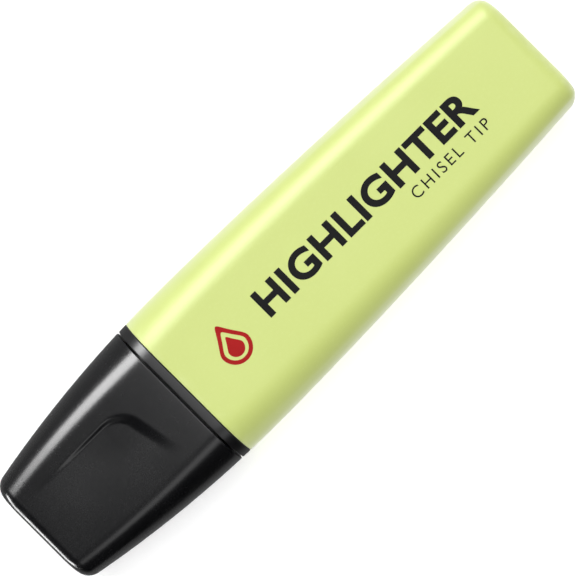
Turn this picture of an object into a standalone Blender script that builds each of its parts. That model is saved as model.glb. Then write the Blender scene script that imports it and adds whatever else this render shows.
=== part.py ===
"""Flat highlighter with a chisel tip and a press-on cap.

The pen lies along X on one broad face: cap end at -X, closed rear end at +X, thickness along Z.
The origin is in the middle of its length and width, on the surface that it lies on.
"""

import math

import bmesh
import bpy
from mathutils import Matrix, Vector

MM = 0.001

# Driving dimensions
LENGTH = 105 * MM
WIDTH = 27.2 * MM
THICKNESS = 17 * MM
CAP_LENGTH = 29.75 * MM
COLLAR_LENGTH = 1.3 * MM
GAP = 0.3 * MM  # between pieces that meet
WALL = 1.3 * MM
CAP_WALL = 1.5 * MM
REAR_WALL = 1.5 * MM

# Outline from above: widest just behind the collar, bowed in towards both ends
WIDEST_FROM_CAP_END = 38 * MM
CAP_END_WIDTH = 19.95 * MM
REAR_END_WIDTH = 21.86 * MM
CAP_BOW_POWER = 2.05
REAR_BOW_POWER = 1.62
PLAN_CORNER = 1.8 * MM  # rounding of the four outline corners
CAP_FILLET = 1.6 * MM  # rounding between a broad face and the cap's end face
REAR_FILLET = 2.4 * MM  # the same at the rear
INNER_FILLET = 0.9 * MM  # the same inside the barrel and the cap

# The cap is a wedge: it thins towards its end
CAP_END_THICKNESS = 11.5 * MM
WEDGE_POWER = 1.15

# Cross-section: flat broad faces, a round corner, then a bulging side. (corner, side) radii
SECTION_AT_CAP_END = (3.6 * MM, 9.0 * MM)
SECTION_AT_COLLAR = (5.5 * MM, 10.0 * MM)
SECTION_AT_REAR = (3.2 * MM, 22.0 * MM)

# Thumb recess on each broad face of the cap: an arched wall with a floor that fades away
SCOOP_DEPTH = 0.65 * MM
SCOOP_WALL = (1.0 * MM, 2.0 * MM)  # along the side, and at the front
SCOOP_SIDE_Y = 5.45 * MM
SCOOP_APEX_X = -28.6 * MM  # where the slanting wall crosses the middle
SCOOP_LEAN = math.radians(11.5)
SCOOP_CORNER = 3.4 * MM
SCOOP_FADE_X = (-50.9 * MM, -34 * MM)
SCOOP_FADE_Y = (-6.5 * MM, 2.0 * MM)

# Front section: skirt inside the barrel, neck inside the cap, snout round the nib
SKIRT_LENGTH = 12 * MM
NECK_LENGTH = 8.8 * MM
SNOUT_LENGTH = 11 * MM
BEAD = 0.3 * MM  # raised ring that grips
SNOUT_BASE = (7.6 * MM, 4.6 * MM)  # half width, half thickness
SNOUT_TIP = (4.4 * MM, 3.1 * MM)
SNOUT_LEAD_IN = 0.4 * MM  # small chamfer round the snout's tip
SNOUT_HOLLOW_END = (4.3 * MM, 3.0 * MM)  # where the hollow meets the nib's passage
PASSAGE_FUNNEL = 1.5 * MM  # length over which the hollow narrows to the shank

# Nib and ink reservoir
NIB_BLOCK = (2.6 * MM, 1.9 * MM)
NIB_SHANK = (2.0 * MM, 1.4 * MM)
NIB_REACH = 6.5 * MM  # furthest corner of the tip in front of the snout
NIB_BLOCK_IN_SNOUT = 4 * MM
NIB_SLANT = 0.55  # run of the chisel edge along X for each unit across
NIB_EDGE = (2.3 * MM, 0.5 * MM)  # half sizes of the chisel edge
NIB_EDGE_ROUNDING = 0.4 * MM
NIB_EDGE_SHOULDER = 0.9 * MM  # half thickness where that rounding ends
NIB_BEVEL_LENGTH = 2.2 * MM
NIB_INTO_RESERVOIR = 7 * MM
RESERVOIR = (8.0 * MM, 4.6 * MM)
RESERVOIR_FRONT = -17 * MM
RESERVOIR_REAR = 47 * MM
SLEEVE_WALL = 0.3 * MM
SLEEVE_SHORT_OF_CORE = 1 * MM

# Inner cup of the cap
SEAL_WALL = 0.8 * MM
SEAL_OVERLAP = 4.5 * MM  # how far its mouth reaches over the snout
SEAL_END = (5.2 * MM, 3.6 * MM)
SEAL_CHAMFER = 0.5 * MM

RIB_THICKNESS = 1.0 * MM
RIB_HEIGHT = 1.6 * MM
RIB_Y = 4 * MM
RIB_CLEAR_OF_SKIRT = 3 * MM

# Stations along X that follow from the above
CAP_END_X = -LENGTH / 2
REAR_END_X = LENGTH / 2
WIDEST_X = CAP_END_X + WIDEST_FROM_CAP_END
CAP_MOUTH_X = CAP_END_X + CAP_LENGTH
COLLAR_FRONT_X = CAP_MOUTH_X + GAP
COLLAR_REAR_X = COLLAR_FRONT_X + COLLAR_LENGTH
BARREL_FRONT_X = COLLAR_REAR_X + GAP
SKIRT_END_X = COLLAR_REAR_X + SKIRT_LENGTH
NECK_FRONT_X = COLLAR_FRONT_X - NECK_LENGTH
SNOUT_TIP_X = NECK_FRONT_X - SNOUT_LENGTH

# Facets in a quarter of a ring: flat, corner, side
FACETS = (6, 4, 3)
# Where the rings between the two ends stand
BARREL_STATIONS = [x * MM for x in (40, 20, 5, -8)]
BARREL_CAVITY_STATIONS = [x * MM for x in (5, 30)]
CAP_STATIONS = [x * MM for x in (-46, -43, -40, -37.5, -35.5, -34, -33, -32, -31, -30, -29, -28, -27)]
CAP_CAVITY_STATIONS = [x * MM for x in (-33, -43)]


def between(low, high, share):
    return low + (high - low) * share


def smooth_step(value, start, end):
    t = min(max((value - start) / (end - start), 0), 1)
    return t * t * (3 - 2 * t)


def half_width(x):
    if x < WIDEST_X:
        share = (WIDEST_X - x) / (WIDEST_X - CAP_END_X)
        return (WIDTH - (WIDTH - CAP_END_WIDTH) * share**CAP_BOW_POWER) / 2
    share = (x - WIDEST_X) / (REAR_END_X - WIDEST_X)
    return (WIDTH - (WIDTH - REAR_END_WIDTH) * share**REAR_BOW_POWER) / 2


def half_thickness(x):
    share = min(max((CAP_MOUTH_X - x) / CAP_LENGTH, 0), 1)
    return between(THICKNESS, CAP_END_THICKNESS, share**WEDGE_POWER) / 2


def section_radii(x):
    if x < CAP_MOUTH_X:
        share = (CAP_MOUTH_X - x) / CAP_LENGTH
        far = SECTION_AT_CAP_END
    else:
        share = (x - CAP_MOUTH_X) / (REAR_END_X - CAP_MOUTH_X)
        far = SECTION_AT_REAR
    return [between(near, end, share) for near, end in zip(SECTION_AT_COLLAR, far)]


def rounding(x, radius):
    """How far a quarter round of that radius at either end pulls the surface in at x."""
    short = max(radius - (LENGTH / 2 - abs(x)), 0)
    return radius - math.sqrt(radius**2 - short**2)


def scoop_depth(x, y):
    """Depth of the thumb recess of the upper face, whose wall has a rounded corner."""
    inside_side = SCOOP_SIDE_Y - y
    inside_front = (SCOOP_APEX_X - x) * math.cos(SCOOP_LEAN) - y * math.sin(SCOOP_LEAN)
    to_corner = (SCOOP_CORNER - inside_side, SCOOP_CORNER - inside_front)
    inside = SCOOP_CORNER - math.hypot(max(to_corner[0], 0), max(to_corner[1], 0)) - min(max(to_corner), 0)
    wall = between(*SCOOP_WALL, smooth_step(x, SCOOP_FADE_X[1], SCOOP_APEX_X - SCOOP_WALL[1]))
    fade = smooth_step(x, *SCOOP_FADE_X) * smooth_step(y, *SCOOP_FADE_Y)
    return SCOOP_DEPTH * fade * smooth_step(inside, 0, wall)


def mirrored(x, quarter):
    """A whole ring from its quarter, which runs from the +Y side to the top."""
    half = quarter[:-1] + [(-y, z) for y, z in reversed(quarter[1:])]
    return [Vector((x, y, z)) for y, z in half + [(-y, -z) for y, z in half]]


def casing_ring(x, inset=0.0, scooped=False):
    """The outer cross-section at x, moved in by inset."""
    corner, side = (radius - inset for radius in section_radii(x))
    wide = half_width(x) - rounding(x, PLAN_CORNER) - inset
    fillet = CAP_FILLET if x < 0 else REAR_FILLET
    thick = half_thickness(x) - rounding(x, fillet) - inset
    side_centre = wide - side
    corner_z = thick - corner
    turn = math.asin(corner_z / (side - corner))  # where the side hands over to the corner
    corner_y = side_centre + (side - corner) * math.cos(turn)
    on_flat, on_corner, on_side = FACETS
    quarter = []
    for step in range(on_side):
        angle = turn * step / on_side
        quarter.append((side_centre + side * math.cos(angle), side * math.sin(angle)))
    for step in range(on_corner):
        angle = between(turn, math.pi / 2, step / on_corner)
        quarter.append((corner_y + corner * math.cos(angle), corner_z + corner * math.sin(angle)))
    quarter += [(corner_y * (1 - step / on_flat), thick) for step in range(on_flat + 1)]
    ring = mirrored(x, quarter)
    if scooped:
        for point in ring:
            upper = math.copysign(1, point.z)
            point.z -= upper * scoop_depth(x, upper * point.y)
    return ring


def oval_ring(x, halves, grow=0.0, power=2.6, slant=0.0):
    """A superellipse with these half sizes across Y and Z. Slant leans it along X."""
    quarter = []
    steps = sum(FACETS)
    for step in range(steps + 1):
        angle = math.pi / 2 * step / steps
        y = (halves[0] + grow) * max(math.cos(angle), 0) ** (2 / power)
        z = (halves[1] + grow) * math.sin(angle) ** (2 / power)
        quarter.append((y, z))
    ring = mirrored(x, quarter)
    for point in ring:
        point.x -= slant * point.y
    return ring


def finish(name, colour, roughness, metallic=0.0):
    material = bpy.data.materials.new(name)
    material.use_nodes = True
    shader = material.node_tree.nodes["Principled BSDF"]
    shader.inputs["Base Color"].default_value = (*colour, 1)
    shader.inputs["Roughness"].default_value = roughness
    shader.inputs["Metallic"].default_value = metallic
    return material


def skin(name, rings, material, parent, ring_shaped=False):
    """A closed solid through the rings: flat at both ends, or joined round if ring_shaped."""
    shape = bmesh.new()
    loops = [[shape.verts.new(point) for point in ring] for ring in rings]
    following = loops[1:] + loops[:1] if ring_shaped else loops[1:]
    for near, far in zip(loops, following):
        count = len(near)
        for i in range(count):
            after = (i + 1) % count
            shape.faces.new((near[i], near[after], far[after], far[i]))
    if not ring_shaped:
        shape.faces.new(loops[0])
        shape.faces.new(loops[-1])
    bmesh.ops.recalc_face_normals(shape, faces=shape.faces)
    mesh = bpy.data.meshes.new(name)
    shape.to_mesh(mesh)
    shape.free()
    mesh.transform(Matrix.Translation((-parent["origin_x"], 0, 0)))
    mesh.shade_smooth()
    mesh.set_sharp_from_angle(angle=math.radians(35))
    mesh.materials.append(material)
    piece = bpy.data.objects.new(name, mesh)
    bpy.context.scene.collection.objects.link(piece)
    piece.parent = parent
    return piece


def boxes(name, limits, parent):
    """A helper of separate boxes, each given by its low and high corners."""
    shape = bmesh.new()
    for low, high in limits:
        size = Vector(high) - Vector(low)
        centre = (Vector(high) + Vector(low)) / 2
        place = Matrix.Translation(centre) @ Matrix.Diagonal((*size, 1))
        bmesh.ops.create_cube(shape, size=1, matrix=place)
    mesh = bpy.data.meshes.new(name)
    shape.to_mesh(mesh)
    shape.free()
    helper = bpy.data.objects.new(name, mesh)
    bpy.context.scene.collection.objects.link(helper)
    helper.parent = parent
    helper.hide_render = True
    helper.display_type = "WIRE"
    return helper


def axis_empty(name, x, z, parent=None):
    empty = bpy.data.objects.new(name, None)
    bpy.context.scene.collection.objects.link(empty)
    empty.parent = parent
    empty.location = (x, 0, z)
    empty["origin_x"] = x
    return empty


def end_stations(sign, fillet):
    """X values that step round the rounding of an end, from the end face inwards."""
    reach = max(fillet, PLAN_CORNER)
    return [sign * (LENGTH / 2 - reach * (1 - math.cos(math.radians(angle)))) for angle in range(0, 91, 15)]


def make_barrel(pen):
    outer = end_stations(1, REAR_FILLET) + BARREL_STATIONS + [WIDEST_X, BARREL_FRONT_X]
    cavity_end = REAR_END_X - REAR_WALL
    rings = [casing_ring(x) for x in outer]
    rings += [casing_ring(x, WALL) for x in [BARREL_FRONT_X] + BARREL_CAVITY_STATIONS]
    rings += [casing_ring(cavity_end - INNER_FILLET, WALL), casing_ring(cavity_end, WALL + INNER_FILLET)]
    barrel = skin("barrel", rings, finish("lime_plastic", (0.69, 0.79, 0.30), 0.35), pen)
    inner_z = THICKNESS / 2 - WALL
    ribs = []
    for y in (-RIB_Y, RIB_Y):
        near, far = y - RIB_THICKNESS / 2, y + RIB_THICKNESS / 2
        for side in (-1, 1):
            heights = sorted((side * (inner_z - RIB_HEIGHT), side * (inner_z + WALL / 2)))
            rib_front = SKIRT_END_X + RIB_CLEAR_OF_SKIRT
            ribs.append(((rib_front, near, heights[0]), (RESERVOIR_REAR, far, heights[1])))
        # a fin on the end wall stops the reservoir
        fin_front = RESERVOIR_REAR + 2 * GAP
        ribs.append(((fin_front, near, -RESERVOIR[1]), (cavity_end + REAR_WALL / 2, far, RESERVOIR[1])))
    union = barrel.modifiers.new("ribs", "BOOLEAN")
    union.operation = "UNION"
    union.solver = "EXACT"
    union.object = boxes("barrel_ribs", ribs, pen)


def make_front_section(pen):
    neck = CAP_WALL + GAP
    skirt = WALL + GAP
    step_x = SNOUT_TIP_X + NIB_BLOCK_IN_SNOUT  # where the nib's block gives way to its shank
    passage = [(NIB_SHANK, step_x + PASSAGE_FUNNEL), (NIB_SHANK, step_x + GAP)]
    passage += [(NIB_BLOCK, step_x + GAP), (NIB_BLOCK, SNOUT_TIP_X)]
    neck_inner_x = NECK_FRONT_X + WALL
    rings = [oval_ring(SNOUT_TIP_X, SNOUT_TIP, -SNOUT_LEAD_IN)]
    rings += [oval_ring(SNOUT_TIP_X + SNOUT_LEAD_IN, SNOUT_TIP), oval_ring(NECK_FRONT_X, SNOUT_BASE)]
    # neck: a lead-in at the front, and a bead that the cap grips
    rings.append(casing_ring(NECK_FRONT_X, neck + 3 * BEAD))
    rings.append(casing_ring(NECK_FRONT_X + 2 * BEAD, neck + BEAD))
    for share, inset in ((0.40, neck + BEAD), (0.46, neck), (0.54, neck), (0.60, neck + BEAD)):
        rings.append(casing_ring(between(NECK_FRONT_X, COLLAR_FRONT_X, share), inset))
    rings.append(casing_ring(COLLAR_FRONT_X, neck + BEAD))
    # collar
    rings += [casing_ring(COLLAR_FRONT_X), casing_ring(COLLAR_REAR_X)]
    # skirt: a bead that holds it in the barrel
    rings.append(casing_ring(COLLAR_REAR_X, skirt + BEAD))
    for share, inset in ((0.36, skirt + BEAD), (0.42, skirt), (0.54, skirt), (0.60, skirt + BEAD)):
        rings.append(casing_ring(between(COLLAR_REAR_X, SKIRT_END_X, share), inset))
    rings.append(casing_ring(SKIRT_END_X, skirt + 2 * BEAD))
    # hollow, from the rear forwards
    rings += [casing_ring(SKIRT_END_X, skirt + WALL), casing_ring(COLLAR_REAR_X, skirt + WALL)]
    rings += [casing_ring(COLLAR_FRONT_X, neck + BEAD + WALL), casing_ring(neck_inner_x, neck + BEAD + WALL)]
    rings.append(oval_ring(neck_inner_x, SNOUT_BASE, -WALL))
    rings.append(oval_ring(passage[0][1], SNOUT_HOLLOW_END))
    rings += [oval_ring(x, halves, GAP) for halves, x in passage]
    skin("front_section", rings, finish("black_plastic", (0.012, 0.012, 0.014), 0.4), pen, ring_shaped=True)


def make_nib(pen):
    block_end = SNOUT_TIP_X + NIB_BLOCK_IN_SNOUT
    tip = SNOUT_TIP_X - NIB_REACH + NIB_SLANT * NIB_BLOCK[0]
    rings = [oval_ring(tip, NIB_EDGE, slant=NIB_SLANT)]
    rings.append(oval_ring(tip + NIB_EDGE_ROUNDING, (NIB_BLOCK[0], NIB_EDGE_SHOULDER), slant=NIB_SLANT))
    rings.append(oval_ring(tip + NIB_BEVEL_LENGTH, NIB_BLOCK, slant=NIB_SLANT))
    rings += [oval_ring(SNOUT_TIP_X + GAP, NIB_BLOCK), oval_ring(block_end, NIB_BLOCK)]
    rings += [oval_ring(block_end, NIB_SHANK), oval_ring(RESERVOIR_FRONT + NIB_INTO_RESERVOIR, NIB_SHANK)]
    skin("nib", rings, finish("ink_soaked_fibre", (0.55, 0.75, 0.10), 0.85), pen)


def make_reservoir(pen):
    socket_end = RESERVOIR_FRONT + NIB_INTO_RESERVOIR + GAP
    rings = [oval_ring(x, NIB_SHANK, GAP) for x in (socket_end, RESERVOIR_FRONT)]
    rings += [oval_ring(x, RESERVOIR, power=4) for x in (RESERVOIR_FRONT, RESERVOIR_REAR)]
    skin("reservoir_core", rings, finish("reservoir_fibre", (0.62, 0.78, 0.16), 0.9), pen)
    front = RESERVOIR_FRONT + SLEEVE_SHORT_OF_CORE
    rear = RESERVOIR_REAR - SLEEVE_SHORT_OF_CORE
    outside = GAP + SLEEVE_WALL
    rings = [oval_ring(x, RESERVOIR, GAP, power=4) for x in (rear, front)]
    rings += [oval_ring(x, RESERVOIR, outside, power=4) for x in (front, rear)]
    skin("reservoir_sleeve", rings, finish("clear_film", (0.80, 0.84, 0.72), 0.2), pen, ring_shaped=True)


def make_cap(cap):
    cavity_end = CAP_END_X + CAP_WALL
    inner = [CAP_MOUTH_X] + CAP_CAVITY_STATIONS + [cavity_end + INNER_FILLET]
    rings = [casing_ring(x, scooped=True) for x in end_stations(-1, CAP_FILLET) + CAP_STATIONS]
    rings.append(casing_ring(CAP_MOUTH_X))
    rings += [casing_ring(x, CAP_WALL) for x in inner]
    rings.append(casing_ring(cavity_end, CAP_WALL + INNER_FILLET))
    skin("cap_shell", rings, finish("black_cap_plastic", (0.012, 0.012, 0.014), 0.35), cap)


def make_seal(cap):
    mouth_x = SNOUT_TIP_X + SEAL_OVERLAP
    share = SEAL_OVERLAP / SNOUT_LENGTH
    mouth = [between(tip, base, share) + GAP + SEAL_WALL for tip, base in zip(SNOUT_TIP, SNOUT_BASE)]
    closed_x = CAP_END_X + CAP_WALL + GAP
    rings = [oval_ring(closed_x, SEAL_END, -SEAL_CHAMFER), oval_ring(closed_x + SEAL_CHAMFER, SEAL_END)]
    rings += [oval_ring(mouth_x, mouth), oval_ring(mouth_x, mouth, -SEAL_WALL)]
    rings.append(oval_ring(closed_x + SEAL_WALL, SEAL_END, -SEAL_WALL))
    skin("cap_seal", rings, finish("natural_polyethylene", (0.62, 0.62, 0.60), 0.5), cap)


def main():
    for thing in list(bpy.data.objects):
        bpy.data.objects.remove(thing)
    pen = axis_empty("pen_axis", 0, THICKNESS / 2)
    cap = axis_empty("cap_slide", CAP_MOUTH_X, 0, pen)
    make_barrel(pen)
    make_front_section(pen)
    make_nib(pen)
    make_reservoir(pen)
    make_cap(cap)
    make_seal(cap)


main()
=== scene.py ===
import math

import bmesh
import bpy
from mathutils import Matrix, Vector


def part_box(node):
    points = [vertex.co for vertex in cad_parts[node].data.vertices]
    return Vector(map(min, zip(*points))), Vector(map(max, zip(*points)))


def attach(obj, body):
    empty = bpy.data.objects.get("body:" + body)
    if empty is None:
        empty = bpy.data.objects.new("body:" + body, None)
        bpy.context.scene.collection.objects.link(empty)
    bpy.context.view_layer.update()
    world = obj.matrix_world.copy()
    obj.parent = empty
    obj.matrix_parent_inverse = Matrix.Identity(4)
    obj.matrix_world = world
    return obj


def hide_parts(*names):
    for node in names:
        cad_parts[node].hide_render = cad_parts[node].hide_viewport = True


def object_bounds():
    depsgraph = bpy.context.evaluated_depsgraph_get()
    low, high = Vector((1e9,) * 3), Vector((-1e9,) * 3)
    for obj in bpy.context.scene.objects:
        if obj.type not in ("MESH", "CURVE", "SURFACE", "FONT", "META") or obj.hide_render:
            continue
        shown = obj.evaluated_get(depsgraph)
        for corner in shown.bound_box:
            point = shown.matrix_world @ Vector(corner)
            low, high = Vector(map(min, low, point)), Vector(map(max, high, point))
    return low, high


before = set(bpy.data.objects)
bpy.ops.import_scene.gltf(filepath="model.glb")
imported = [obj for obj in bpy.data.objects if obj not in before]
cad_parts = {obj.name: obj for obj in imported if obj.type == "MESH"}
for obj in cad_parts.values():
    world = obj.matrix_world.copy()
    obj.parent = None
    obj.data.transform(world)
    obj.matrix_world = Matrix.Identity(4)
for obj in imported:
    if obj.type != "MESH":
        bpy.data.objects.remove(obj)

# Looks of a flat highlighter: a satin lime barrel, black mouldings, a fibre nib under a press-on cap.
# The pen lies along X, cap end at -X, broad faces up and down.

mm = 0.001
touching = 0.001 * mm  # points closer than this count as one
cadLow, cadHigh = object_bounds()
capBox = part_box("cap_shell")
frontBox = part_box("front_section")
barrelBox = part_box("barrel")
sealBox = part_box("cap_seal")
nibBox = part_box("nib")

capEndX, rearEndX = cadLow.x, cadHigh.x
capMouthX = capBox[1].x
barrelFrontX = barrelBox[0].x
midZ = (cadLow.z + cadHigh.z) / 2
penLength = rearEndX - capEndX
penThickness = cadHigh.z - cadLow.z
capLength = capMouthX - capEndX

casing = {
    "widestFromCapEnd": 38 * mm,
    "width": 27.2 * mm,
    "capEndWidth": 19.95 * mm,
    "rearEndWidth": 21.86 * mm,
    "capBow": 2.05,
    "rearBow": 1.62,
    "capEndThickness": 11.5 * mm,
    "wedge": 1.15,
    "planCorner": 1.8 * mm,
    "capFillet": 1.6 * mm,  # between a broad face and the end face
    "rearFillet": 2.4 * mm,
    "innerFillet": 0.9 * mm,
    "radiiAtCapEnd": (3.6 * mm, 9.0 * mm),  # corner and side radius of the cross-section
    "radiiAtCollar": (5.5 * mm, 10.0 * mm),
    "radiiAtRear": (3.2 * mm, 22.0 * mm),
    "facets": (38, 22, 14),  # in a quarter of a ring: flat, corner, side
    "endRings": 18,
    "ridgeRise": (4, 14),  # the end rings between which the parting line rises
    "ridgeProfile": ((1, 0), (0.4, 0.07 * mm), (0, 0.15 * mm)),  # shares of its height, and z
}


def between(low, high, share):
    return low + (high - low) * share


def smoothStep(value, start, end):
    t = min(max((value - start) / (end - start), 0), 1)
    return t * t * (3 - 2 * t)


def fading(distance, full, none):
    # 1 as far as full, 0 from none on
    return 1 - smoothStep(distance, full, none)


def halfWidth(x):
    widestX = capEndX + casing["widestFromCapEnd"]
    if x < widestX:
        share = ((widestX - x) / (widestX - capEndX)) ** casing["capBow"]
        return between(casing["width"], casing["capEndWidth"], share) / 2
    share = ((x - widestX) / (rearEndX - widestX)) ** casing["rearBow"]
    return between(casing["width"], casing["rearEndWidth"], share) / 2


def halfThickness(x):
    share = min(max((capMouthX - x) / capLength, 0), 1)
    return between(penThickness, casing["capEndThickness"], share ** casing["wedge"]) / 2


def sectionRadii(x):
    share = (capMouthX - x) / capLength
    far = casing["radiiAtCapEnd"]
    if share < 0:
        share = (x - capMouthX) / (rearEndX - capMouthX)
        far = casing["radiiAtRear"]
    return [between(near, end, share) for near, end in zip(casing["radiiAtCollar"], far)]


def endRounding(x, radius):
    short = max(radius - (penLength / 2 - abs(x)), 0)
    return radius - math.sqrt(max(radius**2 - short**2, 0))


def mirrored(x, quarter):
    half = quarter[:-1] + [(-y, z) for y, z in reversed(quarter[1:])]
    return [Vector((x, y, z + midZ)) for y, z in half + [(-y, -z) for y, z in half]]


def casingRing(x, inset=0.0, ridge=0.0):
    # the cross-section at x, moved in by inset; ridge is the height of the parting line
    corner, side = (radius - inset for radius in sectionRadii(x))
    wide = halfWidth(x) - endRounding(x, casing["planCorner"]) - inset
    fillet = casing["capFillet"] if x < 0 else casing["rearFillet"]
    thick = halfThickness(x) - endRounding(x, fillet) - inset
    sideCentre = wide - side
    cornerZ = thick - corner
    turn = math.asin(cornerZ / (side - corner))
    cornerY = sideCentre + (side - corner) * math.cos(turn)
    onFlat, onCorner, onSide = casing["facets"]
    quarter = [(wide + share * ridge, z) for share, z in casing["ridgeProfile"]]
    for step in range(1, onSide):
        angle = turn * step / onSide
        quarter.append((sideCentre + side * math.cos(angle), side * math.sin(angle)))
    for step in range(onCorner):
        angle = between(turn, math.pi / 2, step / onCorner)
        quarter.append((cornerY + corner * math.cos(angle), cornerZ + corner * math.sin(angle)))
    quarter += [(cornerY * (1 - step / onFlat), thick) for step in range(onFlat + 1)]
    return mirrored(x, quarter)


def ovalRing(x, halves, grow=0.0, power=2.6, slant=0.0):
    steps = sum(casing["facets"]) + 2
    quarter = []
    for step in range(steps + 1):
        angle = math.pi / 2 * step / steps
        y = (halves[0] + grow) * max(math.cos(angle), 0) ** (2 / power)
        z = (halves[1] + grow) * math.sin(angle) ** (2 / power)
        quarter.append((y, z))
    ring = mirrored(x, quarter)
    for point in ring:
        point.x -= slant * point.y
    return ring


def towardsCentre(ring, share):
    # the same ring drawn in towards the middle of its flat face
    return [Vector((p.x, p.y * share, midZ + (p.z - midZ) * share)) for p in ring]


def roundCorners(path, steps=4):
    # path holds (x, inset, radius) corners; a radius above 0 turns that corner into a short curve
    made = []
    for i, (x, inset, radius) in enumerate(path):
        here = Vector((x, inset))
        if radius == 0:
            made.append(here)
            continue
        before = Vector(path[i - 1][:2]) - here
        after = Vector(path[i + 1][:2]) - here
        start = here + before.normalized() * min(radius, before.length / 2)
        end = here + after.normalized() * min(radius, after.length / 2)
        for step in range(steps + 1):
            t = step / steps
            made.append(start * (1 - t) ** 2 + here * 2 * t * (1 - t) + end * t * t)
    # two curves that meet share a point, which is kept once
    return [point for i, point in enumerate(made) if i == 0 or (point - made[i - 1]).length > touching]


def refine(path, longest):
    # more points between those of path, so that no step along X is longer than longest
    made = [path[0]]
    for near, far in zip(path, path[1:]):
        count = max(1, math.ceil(abs(far[0] - near[0]) / longest))
        made += [near.lerp(far, step / count) for step in range(1, count + 1)]
    return made


def endRings(sign, fillet, ridge):
    # the rings round the rounding of an end, from the end face inwards
    reach = max(fillet, casing["planCorner"])
    rings = []
    for i in range(casing["endRings"] + 1):
        fromEnd = reach * (1 - math.cos(math.pi / 2 * i / casing["endRings"]))
        rise = smoothStep(i, *casing["ridgeRise"])
        rings.append(casingRing(sign * (penLength / 2 - fromEnd), ridge=ridge * rise))
    return rings


def addPiece(name, mesh, material, body, replaced=()):
    mesh.materials.append(material)
    piece = bpy.data.objects.new(name, mesh)
    bpy.context.scene.collection.objects.link(piece)
    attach(piece, body)
    if replaced:
        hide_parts(*replaced)


def skinRings(name, rings, loop=False, sharp=40, wear=None):
    # a closed surface through the rings; loop joins the last to the first, otherwise both ends are closed
    shape = bmesh.new()
    loops = [[shape.verts.new(p) for p in ring] for ring in rings]
    following = loops[1:] + loops[:1] if loop else loops[1:]
    for near, far in zip(loops, following):
        count = len(near)
        for i in range(count):
            j = (i + 1) % count
            shape.faces.new((near[i], near[j], far[j], far[i]))
    if not loop:
        shape.faces.new(loops[0])
        shape.faces.new(loops[-1])
    bmesh.ops.recalc_face_normals(shape, faces=shape.faces)
    mesh = bpy.data.meshes.new(name)
    shape.to_mesh(mesh)
    shape.free()
    mesh.shade_smooth()
    mesh.set_sharp_from_angle(angle=math.radians(sharp))
    if wear:
        layer = mesh.attributes.new("wear", "FLOAT", "POINT")
        layer.data.foreach_set("value", [wear(v.co) for v in mesh.vertices])
    return mesh


class Link:
    # one output of a node; arithmetic on it adds Math nodes
    def __init__(self, finish, socket):
        self.finish = finish
        self.socket = socket

    def maths(self, operation, *values):
        sockets = dict(enumerate(values))
        return self.finish.add("ShaderNodeMath", {"operation": operation}, sockets)["Value"]

    def __add__(self, other):
        return self.maths("ADD", self, other)

    def __radd__(self, other):
        return self.maths("ADD", other, self)

    def __sub__(self, other):
        return self.maths("SUBTRACT", self, other)

    def __rsub__(self, other):
        return self.maths("SUBTRACT", other, self)

    def __mul__(self, other):
        return self.maths("MULTIPLY", self, other)

    def __rmul__(self, other):
        return self.maths("MULTIPLY", other, self)

    def ramp(self, low, high):
        # 0 below low, 1 above high, smooth between
        sockets = {"Value": self, "From Min": low, "From Max": high}
        settings = {"interpolation_type": "SMOOTHSTEP"}
        return self.finish.add("ShaderNodeMapRange", settings, sockets)["Result"]


class Finish:
    # a Principled material and the nodes that feed it
    def __init__(self, name, fixed=None):
        self.material = bpy.data.materials.new(name)
        self.material.use_nodes = True
        self.tree = self.material.node_tree
        self.shader = self.tree.nodes["Principled BSDF"]
        self.place = self.add("ShaderNodeTexCoord")["Object"]
        for socket, value in (fixed or {}).items():
            self.feed(self.shader, socket, value)

    def feed(self, node, socket, value):
        if isinstance(value, Link):
            self.tree.links.new(value.socket, node.inputs[socket])
        else:
            node.inputs[socket].default_value = value

    def add(self, kind, settings=None, sockets=None):
        node = self.tree.nodes.new(kind)
        for setting, value in (settings or {}).items():
            setattr(node, setting, value)
        for socket, value in (sockets or {}).items():
            self.feed(node, socket, value)
        return {out.name: Link(self, out) for out in node.outputs if out.enabled}

    def noise(self, size, detail=2.0, stretch=(1, 1, 1)):
        # cloudy noise from 0 to 1, with features of that size
        place = self.place
        if stretch != (1, 1, 1):
            place = self.add("ShaderNodeMapping", None, {"Vector": self.place, "Scale": stretch})["Vector"]
        sockets = {"Vector": place, "Scale": 1 / size, "Detail": detail}
        return self.add("ShaderNodeTexNoise", None, sockets)["Fac"]

    def mix(self, share, first, second):
        sockets = {0: share, 6: first, 7: second}
        return self.add("ShaderNodeMix", {"data_type": "RGBA"}, sockets)["Result"]

    def bump(self, height, distance, below=None):
        sockets = {"Height": height, "Distance": distance, "Strength": 1.0}
        if below:
            sockets["Normal"] = below
        return self.add("ShaderNodeBump", None, sockets)["Normal"]

    def wear(self):
        return self.add("ShaderNodeAttribute", {"attribute_name": "wear"})["Fac"]

    def finish(self, colour, roughness, normal):
        self.feed(self.shader, "Base Color", colour)
        self.feed(self.shader, "Roughness", roughness)
        self.feed(self.shader, "Normal", normal)
        return self.material


def opaque(colour):
    return (*colour, 1)


moulding = {  # what all the moulded plastics share
    "speckSize": 0.5 * mm,
    "speckShare": 0.5,
    "speckRoughness": 0.06,
    "rubSize": 1.6 * mm,
    "rubRoughness": 0.08,
    "swellSize": 4 * mm,
    "scratchSize": 3.5 * mm,
    "scratchPatch": 21 * mm,
    "scratchDepth": 0.004 * mm,
    "scratchesOneWay": ((1, 9, 9), 0.00004),  # how the noise is squeezed, and the thinness of the lines
    "scratchesOtherWay": ((7, 1, 4), 0.000024),
}


def scratches(f):
    # sparse fine lines: thin bands of a stretched noise
    def bands(squeeze, thinness):
        middle = f.noise(moulding["scratchSize"], 1.0, squeeze) - 0.5
        return (middle * middle).ramp(thinness, 0)

    patches = f.noise(moulding["scratchPatch"]).ramp(0.52, 0.66)
    return (bands(*moulding["scratchesOneWay"]) + bands(*moulding["scratchesOtherWay"])) * patches


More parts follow.
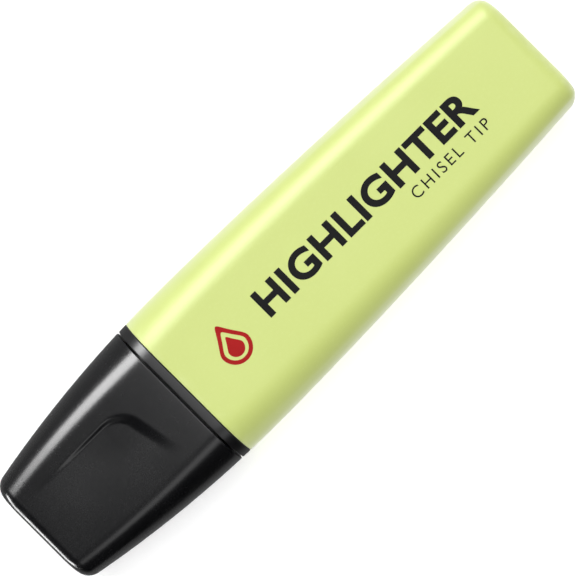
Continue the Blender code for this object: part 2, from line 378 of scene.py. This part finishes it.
def plastic(name, look, fixed=None):
    # moulded plastic: a faint cloudiness, a fine moulded grain, rubbed edges
    f = Finish(name, fixed)
    cloud = f.noise(look["cloudSize"], 3.0)
    speck = f.noise(moulding["speckSize"], 2.0)
    worn = f.wear() * f.noise(moulding["rubSize"], 3.0).ramp(0.35, 0.75)
    lines = scratches(f)
    colour = f.mix(cloud.ramp(0.3, 0.7), opaque(look["colour"]), opaque(look["cloudColour"]))
    colour = f.mix(speck.ramp(0.45, 0.9) * moulding["speckShare"], colour, opaque(look["speckColour"]))
    colour = f.mix(worn * look["wearShare"], colour, opaque(look["wornColour"]))
    rough = look["roughness"] + (cloud - 0.5) * look["roughnessSpread"]
    rough = rough + (speck - 0.5) * moulding["speckRoughness"] + lines * look["scratchShare"]
    rough = rough + worn * moulding["rubRoughness"]
    normal = f.bump(f.noise(look["grainSize"], 2.0), look["grainDepth"])
    normal = f.bump(f.noise(moulding["swellSize"], 1.0), look["swellDepth"], normal)
    normal = f.bump(1 - lines * look["scratchShare"] * 2, moulding["scratchDepth"], normal)
    return f.finish(colour, rough, normal)


bondedFibre = {  # what the nib and the reservoir share
    "stretch": (0.07, 1, 1),
    "strandShare": 0.5,
    "strandDepth": 0.06 * mm,
    "fluffSize": 0.09 * mm,
    "fluffDepth": 0.03 * mm,
    "fluffRoughness": 0.2,
}


def fibre(name, look):
    # bonded fibre: fine strands along X, ink that lies unevenly
    f = Finish(name)
    strands = f.noise(look["strand"], 3.0, bondedFibre["stretch"])
    soak = f.noise(look["soak"], 3.0)
    fluff = f.noise(bondedFibre["fluffSize"], 2.0)
    colour = f.mix(soak.ramp(0.3, 0.7), opaque(look["colour"]), opaque(look["deepColour"]))
    onTop = strands.ramp(0.5, 0.8) * bondedFibre["strandShare"]
    colour = f.mix(onTop, colour, opaque(look["strandColour"]))
    rough = look["roughness"] + (fluff - 0.5) * bondedFibre["fluffRoughness"]
    normal = f.bump(strands, bondedFibre["strandDepth"])
    normal = f.bump(fluff, bondedFibre["fluffDepth"], normal)
    return f.finish(colour, rough, normal)


studio = {
    "lens": 180,
    "distance": 439.7 * mm,
    "shiftX": 0.53 * mm,
    "shiftY": -0.06 * mm,
    "turn": -45,  # the pen runs from lower left to upper right
    "floorSize": 6,
    "floorGap": 0.05 * mm,
    "floorColour": (0.86, 0.86, 0.86),
    "floorGlow": 0.50,
    "sky": 0.27,
}

# tilt is the lean off the vertical, towards a direction in X and Y; along is a panel's level side and
# across the other one; seen "gloss" shows only in reflections, "diffuse" only lights the surfaces
softboxes = {
    "key": {
        "tilt": 48, "towards": (0, 1), "distance": 0.6,
        "across": 0.36, "along": 0.50, "radiance": 18.0, "seen": "gloss",
    },
    "keyBeam": {
        "tilt": 53, "towards": (0, 1), "distance": 0.8,
        "across": 0.6, "along": 0.6, "radiance": 3.3, "seen": "diffuse",
    },
    "overhead": {
        "tilt": 8, "towards": (1, 0), "distance": 0.8,
        "across": 0.52, "along": 0.5, "radiance": 1.7, "seen": "both",
    },
    "fill": {
        "tilt": 0, "towards": (1, 0), "distance": 1.0,
        "across": 1.0, "along": 1.0, "radiance": 1.55, "seen": "diffuse",
    },
    "sideFill": {
        "tilt": 43, "towards": (0, -1), "distance": 0.6,
        "across": 0.19, "along": 0.6, "radiance": 1.6, "seen": "gloss",
    },
    "capEnd": {
        "tilt": 97, "towards": (-1, 0), "distance": 0.6,
        "across": 0.18, "along": 0.7, "radiance": 25.0, "seen": "gloss",
    },
    "rearEnd": {
        "tilt": 107, "towards": (1, 0), "distance": 0.6,
        "across": 0.52, "along": 0.7, "radiance": 13.0, "seen": "gloss",
    },
}

# black panels, seen only in reflections
flags = {
    "sideFlag": {"tilt": 84, "towards": (0, -1), "distance": 0.05, "across": 0.062, "along": 0.4},
    "capFlag": {"tilt": 55, "towards": (-1, 0), "distance": 0.5, "across": 0.56, "along": 0.5},
}


def facing(box):
    # where a panel stands and how it is turned to face the pen
    tilt = math.radians(box["tilt"])
    outward = Vector((*box["towards"], 0)) * math.sin(tilt) + Vector((0, 0, math.cos(tilt)))
    place = Matrix.Translation(Vector((0, 0, midZ)) + outward * box["distance"])
    return place @ outward.to_track_quat("Z", "Y").to_matrix().to_4x4()


def addLight(name, box):
    lamp = bpy.data.lights.new(name, "AREA")
    lamp.shape = "RECTANGLE"
    lamp.size = box["along"]
    lamp.size_y = box["across"]
    lamp.energy = box["radiance"] * math.pi * box["along"] * box["across"]
    light = bpy.data.objects.new(name, lamp)
    light.matrix_world = facing(box)
    light.visible_camera = False
    light.visible_diffuse = box["seen"] != "gloss"
    light.visible_glossy = box["seen"] != "diffuse"
    bpy.context.scene.collection.objects.link(light)


def buildStudio():
    scene = bpy.context.scene
    scene.view_settings.view_transform = "Standard"
    world = bpy.data.worlds.new("paleSky")
    world.use_nodes = True
    world.node_tree.nodes["Background"].inputs["Color"].default_value = (1, 1, 1, 1)
    world.node_tree.nodes["Background"].inputs["Strength"].default_value = studio["sky"]
    scene.world = world
    for name, box in softboxes.items():
        addLight(name, box)

    camera = bpy.data.cameras.new("camera")
    camera.lens = studio["lens"]
    cameraObject = bpy.data.objects.new("camera", camera)
    cameraObject.location = (studio["shiftX"], studio["shiftY"], midZ + studio["distance"])
    cameraObject.rotation_euler = (0, 0, math.radians(studio["turn"]))
    scene.collection.objects.link(cameraObject)
    scene.camera = cameraObject

    def plane(name, along, across, place):
        corners = [(-along, -across, 0), (along, -across, 0), (along, across, 0), (-along, across, 0)]
        mesh = bpy.data.meshes.new(name)
        mesh.from_pydata([place @ (Vector(corner) / 2) for corner in corners], [], [(0, 1, 2, 3)])
        thing = bpy.data.objects.new(name, mesh)
        scene.collection.objects.link(thing)
        return thing

    size = studio["floorSize"]
    floor = plane("floor", size, size, Matrix.Translation((0, 0, cadLow.z - studio["floorGap"])))
    f = Finish("floorPaint", {
        "Base Color": opaque(studio["floorColour"]),
        "Roughness": 0.9,
        "Specular IOR Level": 0.1,
        "Emission Color": opaque(studio["floorColour"]),
        "Emission Strength": studio["floorGlow"],
    })
    floor.data.materials.append(f.material)
    floor.visible_glossy = False

    cloth = Finish("flagCloth", {"Base Color": (0, 0, 0, 1), "Roughness": 1.0, "Specular IOR Level": 0.0})
    for name, box in flags.items():
        flag = plane(name, box["along"], box["across"], facing(box))
        flag.data.materials.append(cloth.material)
        flag.visible_camera = False
        flag.visible_diffuse = False
        flag.visible_shadow = False
    print("studio made:", len(softboxes), "lights,", len(flags), "flags")


barrelLook = {
    "wall": 1.3 * mm,
    "rearWall": 1.5 * mm,
    "partingRidge": 0.03 * mm,
    "rimRadius": 0.12 * mm,
    "roundedEnd": 3 * mm,
    "cavityCorner": 1 * mm,
    "ringSpacing": 1.5 * mm,
    "faceRings": (0.4, 0.75, 0.97),  # shares of the end face's outline
    "gateRings": (  # radius and depth of the mark left by the moulding gate
        (0.25 * mm, 0.045 * mm), (0.4 * mm, 0.15 * mm), (0.78 * mm, 0.15 * mm), (0.9 * mm, 0.02 * mm),
        (1.0 * mm, 0)),
    "rubbedRear": (0.6 * mm, 2.2 * mm),  # fully rubbed and not rubbed, from the end or rim
    "rubbedRim": (0.1 * mm, 0.5 * mm),
    "freshFace": 0.2 * mm,
    "colour": (0.57, 0.66, 0.18),
    "cloudColour": (0.58, 0.67, 0.19),
    "speckColour": (0.60, 0.69, 0.215),
    "wornColour": (0.66, 0.75, 0.32),
    "shine": 0.42,
    "paleRim": 0.85,  # the milky edge of a pastel plastic
    "paleRimSpread": 0.37,
    "wearShare": 0.35,
    "cloudSize": 14 * mm,
    "roughness": 0.50,
    "roughnessSpread": 0.08,
    "scratchShare": 0.05,
    "grainSize": 0.16 * mm,
    "grainDepth": 0.004 * mm,
    "swellDepth": 0.01 * mm,
}


def barrelWear(point):
    # rubbed along the rear rounding and the front rim
    look = barrelLook
    fromRear = rearEndX - point.x
    rear = fading(fromRear, *look["rubbedRear"]) * smoothStep(fromRear, 0, look["freshFace"])
    return max(rear, fading(point.x - barrelFrontX, *look["rubbedRim"]))


def buildBarrel():
    look = barrelLook
    wall, rim, ridge = look["wall"], look["rimRadius"], look["partingRidge"]
    cavityX = rearEndX - look["rearWall"]
    # end face with the gate mark in its middle
    edge = casingRing(rearEndX)
    rings = [ovalRing(rearEndX - depth, (radius, radius), power=2) for radius, depth in look["gateRings"]]
    rings += [towardsCentre(edge, share) for share in look["faceRings"]]
    rings += endRings(1, casing["rearFillet"], ridge)
    outer = roundCorners([
        (rearEndX - look["roundedEnd"], 0, 0),
        (barrelFrontX, 0, rim),
        (barrelFrontX, wall, rim),
        (cavityX - look["cavityCorner"], wall, 0),
    ])
    for x, inset in refine(outer, look["ringSpacing"]):
        rings.append(casingRing(x, inset, ridge if inset < touching else 0))
    rings.append(casingRing(cavityX, wall + casing["innerFillet"]))
    mesh = skinRings("barrelShell", rings, wear=barrelWear)
    material = plastic("limePlastic", look, {
        "Specular IOR Level": look["shine"],
        "Sheen Weight": look["paleRim"],
        "Sheen Roughness": look["paleRimSpread"],
    })
    addPiece("barrelShell", mesh, material, "pen", ["barrel"])
    print("barrel made:", len(mesh.vertices), "points")


frontLook = {
    "neckInset": 1.8 * mm,
    "skirtInset": 1.6 * mm,
    "bead": 0.3 * mm,
    "wall": 1.3 * mm,
    "collarFront": 0.3 * mm,  # from the cap's mouth
    "collarRear": 0.10 * mm,  # from the barrel's rim
    "edge": 0.12 * mm,
    "beadRounding": 0.4 * mm,
    "neckBead": (0.38, 0.45, 0.55, 0.62),  # foot, top, top and foot, in shares of the way
    "skirtBead": (0.36, 0.42, 0.54, 0.60),
    "neckRounding": 0.7 * mm,
    "footRounding": 0.1 * mm,
    "skirtRounding": 0.2 * mm,
    "ringSpacing": 1 * mm,
    "snoutBase": (7.6 * mm, 4.6 * mm),
    "snoutTip": (4.4 * mm, 3.1 * mm),
    "snoutLength": 11 * mm,
    "snoutFace": 1.2 * mm,
    "snoutRounding": 0.5 * mm,
    "snoutFlare": (0.6 * mm, 0.5 * mm),  # along X, and outwards
    "hollowFrom": 5.5 * mm,  # from the snout's tip
    "hollowInset": 0.4 * mm,
    "shankFrom": 4.3 * mm,
    "holeRounding": (0.4 * mm, 0.15 * mm),
    "rubbedTip": (0, 1 * mm),
    "nibHole": (2.9 * mm, 2.2 * mm),
    "shankHole": (2.3 * mm, 1.7 * mm),
    "colour": (0.0045, 0.0046, 0.0052),
    "cloudColour": (0.0055, 0.0056, 0.0062),
    "speckColour": (0.008, 0.008, 0.009),
    "wornColour": (0.03, 0.03, 0.032),
    "wearShare": 0.3,
    "cloudSize": 9 * mm,
    "roughness": 0.36,
    "roughnessSpread": 0.08,
    "scratchShare": 0.08,
    "grainSize": 0.14 * mm,
    "grainDepth": 0.003 * mm,
    "swellDepth": 0.006 * mm,
}


def buildFrontSection():
    look = frontLook
    # neck and skirt lie lower than the tops of their beads
    neck, skirt = look["neckInset"] + look["bead"], look["skirtInset"] + look["bead"]
    wall, edge, foot, lip = look["wall"], look["edge"], look["footRounding"], look["skirtRounding"]
    collarX = capMouthX + look["collarFront"]
    collarEndX = barrelFrontX - look["collarRear"]
    neckX = frontBox[0].x + look["snoutLength"]
    tipX, skirtX = frontBox[0].x, frontBox[1].x

    def snout(x, inset):
        share = (x - tipX) / look["snoutLength"]
        halves = [between(tip, base, share) for tip, base in zip(look["snoutTip"], look["snoutBase"])]
        return ovalRing(x, halves, -inset)

    def bead(fromX, toX, shares, inset):
        heights = (look["bead"], 0, 0, look["bead"])
        return [(between(fromX, toX, share), inset + height, look["beadRounding"])
                for share, height in zip(shares, heights)]

    spacing = look["ringSpacing"]
    flareX, flareOut = look["snoutFlare"]
    path = [(tipX, look["snoutFace"], 0), (tipX, 0, look["snoutRounding"])]
    path += [(neckX - flareX, 0, 0), (neckX, -flareOut, 0)]
    rings = [snout(x, inset) for x, inset in refine(roundCorners(path), spacing)]

    outside = [(neckX, neck + 1.5 * look["bead"], 0), (neckX, neck, look["neckRounding"])]
    outside += bead(neckX, collarX, look["neckBead"], look["neckInset"])
    outside += [(collarX, neck, foot), (collarX, 0, edge), (collarEndX, 0, edge), (collarEndX, skirt, foot)]
    outside += bead(collarEndX, skirtX, look["skirtBead"], look["skirtInset"])
    outside += [(skirtX, skirt + look["bead"], lip), (skirtX, look["skirtInset"] + wall, lip)]
    outside += [(collarEndX, look["skirtInset"] + wall, 0), (collarX, neck + wall, 0)]
    outside += [(neckX + wall, neck + wall, 0)]
    rings += [casingRing(x, inset) for x, inset in refine(roundCorners(outside), spacing)]

    # the hollow of the snout, then the holes for the nib's shank and the nib
    rings += [snout(neckX + wall, wall), snout(tipX + look["hollowFrom"], wall + look["hollowInset"])]
    holeX, holeOut = look["holeRounding"]
    rings += [ovalRing(tipX + look["hollowFrom"], look["shankHole"])]
    rings += [ovalRing(tipX + look["shankFrom"], look[hole]) for hole in ("shankHole", "nibHole")]
    rings += [ovalRing(tipX + holeX, look["nibHole"]), ovalRing(tipX, look["nibHole"], holeOut)]

    def rubbed(point):
        return fading(point.x - tipX, *look["rubbedTip"])

    mesh = skinRings("frontMoulding", rings, loop=True, wear=rubbed)
    material = plastic("blackPlastic", look)
    addPiece("frontMoulding", mesh, material, "pen", ["front_section"])
    print("front section made:", len(mesh.vertices), "points")


nibLook = {
    "block": (2.6 * mm, 1.9 * mm),
    "shank": (2.0 * mm, 1.4 * mm),
    "slant": 0.55,
    "squareness": 3.2,
    "chisel": (  # distance from the edge in mm, and shares of the block's thickness and width
        (0.0, 0.22, 0.86), (0.06, 0.30, 0.93), (0.18, 0.38, 0.97), (0.4, 0.47, 0.99), (0.9, 0.63, 1.0),
        (1.5, 0.81, 1.0), (2.2, 0.95, 1.0), (2.8, 1.0, 1.0)),
    "chiselCorner": 0.3 * mm,
    "blockFrom": 3.4 * mm,
    "blockRings": (0.1, 0.25, 0.45, 0.7, 0.98),
    "blockInSnout": 4 * mm,
    "blockEdge": 0.1 * mm,
    "colour": (0.50, 0.76, 0.05),
    "deepColour": (0.36, 0.62, 0.03),
    "strandColour": (0.62, 0.84, 0.14),
    "strand": 0.12 * mm,
    "soak": 1.8 * mm,
    "roughness": 0.8,
}


def buildNib():
    look = nibLook
    block, shank, slant, squareness = look["block"], look["shank"], look["slant"], look["squareness"]
    tipX = nibBox[0].x + slant * (block[0] - look["chiselCorner"])
    # the chisel's edge is rounded over, and its two cheeks swell into the block
    chiselEnd = look["chisel"][-1][0]
    rings = []
    for x, thick, wide in look["chisel"]:
        lean = slant if x < chiselEnd else slant * 0.8
        halves = (block[0] * wide, block[1] * thick)
        rings.append(ovalRing(tipX + x * mm, halves, power=squareness, slant=lean))
    # the slant of the rings dies away along the block
    blockX, endX = tipX + look["blockFrom"], frontBox[0].x + look["blockInSnout"]
    for share in look["blockRings"]:
        lean = slant * 0.5 * (1 - share) ** 3
        rings.append(ovalRing(between(blockX, endX, share), block, power=squareness, slant=lean))
    rings.append(ovalRing(endX, block, -look["blockEdge"], power=3.0))
    rings += [ovalRing(x, shank) for x in (endX, nibBox[1].x)]
    mesh = skinRings("fibreNib", rings, sharp=50)
    addPiece("fibreNib", mesh, fibre("inkyFibre", look), "pen", ["nib"])
    print("nib made:", len(mesh.vertices), "points")


capLook = {
    "wall": 1.5 * mm,
    "rimRadius": 0.15 * mm,
    "roundedEnd": 2.8 * mm,
    "lip": 1.5 * mm,
    "ringSpacing": 0.17 * mm,
    "cavitySpacing": 1.5 * mm,
    "faceRings": (0.3, 0.7, 0.97),  # shares of the end face's outline
    "rubbedEnd": (0.4 * mm, 1.6 * mm),  # fully rubbed and not rubbed, from the end or mouth
    "rubbedMouth": (0, 0.4 * mm),
    "freshFace": 0.15 * mm,
    "scoopDepth": 0.50 * mm,
    "scoopWall": (1.0 * mm, 2.0 * mm),  # along the side, and at the front
    "scoopSideY": 5.45 * mm,
    "scoopApexX": 23.9 * mm,  # from the cap's end
    "scoopLean": 11.5,
    "scoopCorner": 3.4 * mm,
    "scoopFadeX": (1.6 * mm, 18.5 * mm),
    "scoopFadeY": (-6.5 * mm, 2.0 * mm),
    "partingRidge": 0.02 * mm,
    "colour": (0.0035, 0.0036, 0.0042),
    "cloudColour": (0.0045, 0.0046, 0.0052),
    "speckColour": (0.006, 0.006, 0.007),
    "wornColour": (0.03, 0.03, 0.032),
    "wearShare": 0.25,
    "cloudSize": 8 * mm,
    "roughness": 0.26,
    "roughnessSpread": 0.06,
    "scratchShare": 0.08,
    "grainSize": 0.14 * mm,
    "grainDepth": 0.002 * mm,
    "swellDepth": 0.006 * mm,
}


def scoopDepth(x, y):
    # depth of the thumb recess of the upper face: an arched wall, and a floor that fades away
    look = capLook
    lean = math.radians(look["scoopLean"])
    fromEnd = x - capEndX
    insideSide = look["scoopSideY"] - y
    insideFront = (look["scoopApexX"] - fromEnd) * math.cos(lean) - y * math.sin(lean)
    corner = look["scoopCorner"]
    toSide, toFront = corner - insideSide, corner - insideFront
    inside = corner - math.hypot(max(toSide, 0), max(toFront, 0)) - min(max(toSide, toFront), 0)
    sideWall, frontWall = look["scoopWall"]
    towardsFront = smoothStep(fromEnd, look["scoopFadeX"][1], look["scoopApexX"] - frontWall)
    wall = between(sideWall, frontWall, towardsFront)
    fade = smoothStep(fromEnd, *look["scoopFadeX"]) * smoothStep(y, *look["scoopFadeY"])
    return look["scoopDepth"] * fade * smoothStep(inside, 0, wall)


def scooped(ring):
    for point in ring:
        upper = 1 if point.z >= midZ else -1
        point.z -= upper * scoopDepth(point.x, upper * point.y)
    return ring


def capWear(point):
    # rubbed along the end's rounding and the rim of the mouth
    look = capLook
    fromEnd = point.x - capEndX
    end = fading(fromEnd, *look["rubbedEnd"]) * smoothStep(fromEnd, 0, look["freshFace"])
    return max(end, fading(capMouthX - point.x, *look["rubbedMouth"]))


def buildCap():
    look = capLook
    wall, rim, ridge = look["wall"], look["rimRadius"], look["partingRidge"]
    lipX, cavityX = capMouthX - look["lip"], capEndX + wall
    edge = casingRing(capEndX)
    rings = [towardsCentre(edge, share) for share in look["faceRings"]]
    rings += endRings(-1, casing["capFillet"], ridge)
    outer = roundCorners([
        (capEndX + look["roundedEnd"], 0, 0),
        (lipX, 0, 0),
        (capMouthX, 0, rim),
        (capMouthX, wall, rim),
        (lipX, wall, 0),
    ])
    for x, inset in refine(outer, look["ringSpacing"]):
        ring = casingRing(x, inset, ridge if inset < touching else 0)
        rings.append(scooped(ring) if inset == 0 else ring)
    inner = [Vector((lipX, wall)), Vector((cavityX + casing["innerFillet"], wall))]
    rings += [casingRing(x, inset) for x, inset in refine(inner, look["cavitySpacing"])[1:]]
    rings.append(casingRing(cavityX, wall + casing["innerFillet"]))
    mesh = skinRings("capMoulding", rings, wear=capWear)
    material = plastic("blackCapPlastic", look)
    addPiece("capMoulding", mesh, material, "cap", ["cap_shell"])
    print("cap made:", len(mesh.vertices), "points")


sealLook = {
    "wall": 0.8 * mm,
    "end": (5.2 * mm, 3.6 * mm),
    "mouth": (6.81 * mm, 4.81 * mm),
    "closedFace": 1.0 * mm,
    "closedRounding": 0.6 * mm,
    "innerRounding": 0.4 * mm,
    "lipRings": (1.0 * mm, 0.7 * mm),  # from the mouth
    "lipRingRounding": 0.2 * mm,
    "lipRounding": 0.25 * mm,
    "ringSpacing": 1 * mm,
    "inkedMouth": (0, 2 * mm),
    "colour": (0.52, 0.52, 0.49),
    "cloudColour": (0.58, 0.58, 0.55),
    "speckColour": (0.62, 0.62, 0.60),
    "wornColour": (0.55, 0.68, 0.25),
    "wearShare": 0.5,
    "cloudSize": 6 * mm,
    "roughness": 0.42,
    "roughnessSpread": 0.1,
    "scratchShare": 0.05,
    "grainSize": 0.2 * mm,
    "grainDepth": 0.004 * mm,
    "swellDepth": 0.02 * mm,
}


def buildSeal():
    look = sealLook
    closedX, mouthX = sealBox[0].x, sealBox[1].x

    def cup(x, inset):
        share = (x - closedX) / (mouthX - closedX)
        halves = [between(end, mouth, share) for end, mouth in zip(look["end"], look["mouth"])]
        return ovalRing(x, halves, -inset)

    wall = look["wall"]
    lip, face = look["lipRounding"], look["closedFace"]
    path = [(closedX, face, 0), (closedX, 0, look["closedRounding"])]
    path += [(mouthX - back, 0, look["lipRingRounding"]) for back in look["lipRings"]]
    path += [(mouthX, 0, lip), (mouthX, wall, lip)]
    path += [(closedX + wall, wall, look["innerRounding"]), (closedX + wall, wall + face, 0)]
    rings = [cup(x, inset) for x, inset in refine(roundCorners(path), look["ringSpacing"])]

    def inked(point):
        return fading(mouthX - point.x, *look["inkedMouth"])

    mesh = skinRings("capSeal", rings, wear=inked)
    material = plastic("naturalPlastic", look, {"Subsurface Weight": 0.2, "Subsurface Scale": 0.8 * mm})
    addPiece("capSeal", mesh, material, "cap", ["cap_seal"])
    print("seal made:", len(mesh.vertices), "points")


reservoirLook = {
    "colour": (0.50, 0.70, 0.08),
    "deepColour": (0.42, 0.62, 0.05),
    "strandColour": (0.64, 0.80, 0.24),
    "strand": 0.2 * mm,
    "soak": 5 * mm,
    "roughness": 0.85,
}

filmLook = {
    "colour": (0.66, 0.76, 0.42),
    "cloudColour": (0.72, 0.80, 0.52),
    "speckColour": (0.76, 0.82, 0.60),
    "wornColour": (0.8, 0.85, 0.7),
    "wearShare": 0.2,
    "cloudSize": 5 * mm,
    "roughness": 0.16,
    "roughnessSpread": 0.08,
    "scratchShare": 0.1,
    "grainSize": 0.5 * mm,
    "grainDepth": 0.004 * mm,
    "swellDepth": 0.05 * mm,
}


def finishReservoir():
    for node, material in (("reservoir_core", fibre("reservoirFibre", reservoirLook)),
                           ("reservoir_sleeve", plastic("clearFilm", filmLook))):
        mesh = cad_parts[node].data
        mesh.materials.clear()
        mesh.materials.append(material)
    print("reservoir finished")


printLook = {
    "shine": 0.1,
    "thickness": 0.02 * mm,
    "lift": 0.012 * mm,
    "black": (0.0035, 0.0035, 0.004),
    "blackPatch": (0.005, 0.005, 0.0055),
    "red": (0.36, 0.0012, 0.0016),
    "redPatch": (0.40, 0.002, 0.0025),
    "cloudSize": 3 * mm,
    "grainSize": 0.12 * mm,
    "grainDepth": 0.002 * mm,
    "roughness": 0.5,
    "roughnessSpread": 0.12,
    "letterSteps": 8,
    "emblemX": -11.3 * mm,
    "emblemSize": 7.4 * mm,
    "emblemLine": 0.66 * mm,
    "emblemHeart": 0.52,  # the size of the inner drop, as a share of the outer one
    "dropPoints": 72,
    "dropRadius": 0.36,  # shares of a drop's size
    "dropTip": 0.58,
}

printedLines = {
    "printedWord": {
        "words": "HIGHLIGHTER",
        "height": 4.7 * mm,
        "fromX": -4.4 * mm,
        "toX": 39.8 * mm,
        "centreY": 0.84 * mm,
        "weight": 0.035,
        "spacing": 1.07,
    },
    "printedLine": {
        "words": "CHISEL TIP",
        "height": 1.85 * mm,
        "fromX": 23.6 * mm,
        "toX": 39.4 * mm,
        "centreY": -3.56 * mm,
        "weight": 0.0,
        "spacing": 1.3,
    },
}


def inkMaterial(name, colour, patchColour):
    look = printLook
    f = Finish(name, {"Specular IOR Level": look["shine"]})
    cloud = f.noise(look["cloudSize"], 3.0)
    grain = f.noise(look["grainSize"], 2.0)
    mixed = f.mix(cloud.ramp(0.35, 0.7), opaque(colour), opaque(patchColour))
    rough = look["roughness"] + (grain - 0.5) * look["roughnessSpread"]
    return f.finish(mixed, rough, f.bump(grain, look["grainDepth"]))


def addText(name, line, material):
    curve = bpy.data.curves.new(name, "FONT")
    curve.body = line["words"]
    curve.size = 1
    curve.offset = line["weight"]
    curve.resolution_u = printLook["letterSteps"]
    curve.space_character = line["spacing"]
    draft = bpy.data.objects.new(name, curve)
    bpy.context.scene.collection.objects.link(draft)
    graph = bpy.context.evaluated_depsgraph_get()
    mesh = bpy.data.meshes.new_from_object(draft.evaluated_get(graph))
    bpy.data.objects.remove(draft)
    lowX, highX = min(v.co.x for v in mesh.vertices), max(v.co.x for v in mesh.vertices)
    lowY, highY = min(v.co.y for v in mesh.vertices), max(v.co.y for v in mesh.vertices)
    top = cadHigh.z + printLook["lift"]
    for v in mesh.vertices:
        v.co.x = between(line["fromX"], line["toX"], (v.co.x - lowX) / (highX - lowX))
        v.co.y = line["centreY"] + line["height"] * ((v.co.y - lowY) / (highY - lowY) - 0.5)
        v.co.z = top
    addPiece(name, thickened(mesh, printLook["thickness"]), material, "pen")


def thickened(mesh, depth):
    shape = bmesh.new()
    shape.from_mesh(mesh)
    bmesh.ops.remove_doubles(shape, verts=shape.verts, dist=touching / 2)
    bmesh.ops.recalc_face_normals(shape, faces=shape.faces)
    if shape.faces[0].normal.z < 0:
        bmesh.ops.reverse_faces(shape, faces=shape.faces)
    made = bmesh.ops.extrude_face_region(shape, geom=shape.faces[:], use_keep_orig=True)
    lower = [v for v in made["geom"] if isinstance(v, bmesh.types.BMVert)]
    bmesh.ops.translate(shape, verts=lower, vec=(0, 0, -depth))
    bmesh.ops.recalc_face_normals(shape, faces=shape.faces)
    shape.to_mesh(mesh)
    shape.free()
    mesh.shade_flat()
    return mesh


def dropOutline(centre, size, inset):
    # a drop with its tip towards +Y
    points = printLook["dropPoints"]
    radius = size * printLook["dropRadius"] - inset
    tip = size * printLook["dropTip"] - inset * 1.9
    outline = []
    for i in range(points):
        angle = 2 * math.pi * i / points
        x, y = math.sin(angle), -math.cos(angle)
        pull = max(y, 0) ** 2.2
        wide = radius * x * (1 - 0.55 * pull ** 0.8)
        outline.append((centre.x + wide, centre.y + between(radius * y, tip * y, pull)))
    return outline


def addEmblem(material):
    look = printLook
    size, line = look["emblemSize"], look["emblemLine"]
    centre = Vector((look["emblemX"], -0.1 * size))
    top = cadHigh.z + look["lift"]
    shape = bmesh.new()

    def drawn(middle, across, inset):
        return [shape.verts.new((x, y, top)) for x, y in dropOutline(middle, across, inset)]

    outer, inner = drawn(centre, size, 0), drawn(centre, size, line)
    for i in range(len(outer)):
        j = (i + 1) % len(outer)
        shape.faces.new((outer[i], outer[j], inner[j], inner[i]))
    shape.faces.new(drawn(centre + Vector((0, -0.02 * size)), size * look["emblemHeart"], 0))
    mesh = bpy.data.meshes.new("emblem")
    shape.to_mesh(mesh)
    shape.free()
    addPiece("printedDrop", thickened(mesh, look["thickness"]), material, "pen")


def buildPrint():
    look = printLook
    black = inkMaterial("blackInk", look["black"], look["blackPatch"])
    red = inkMaterial("redInk", look["red"], look["redPatch"])
    for name, line in printedLines.items():
        addText(name, line, black)
    addEmblem(red)
    print("printing made")


buildStudio()
buildBarrel()
buildFrontSection()
buildNib()
buildCap()
buildSeal()
finishReservoir()
buildPrint()
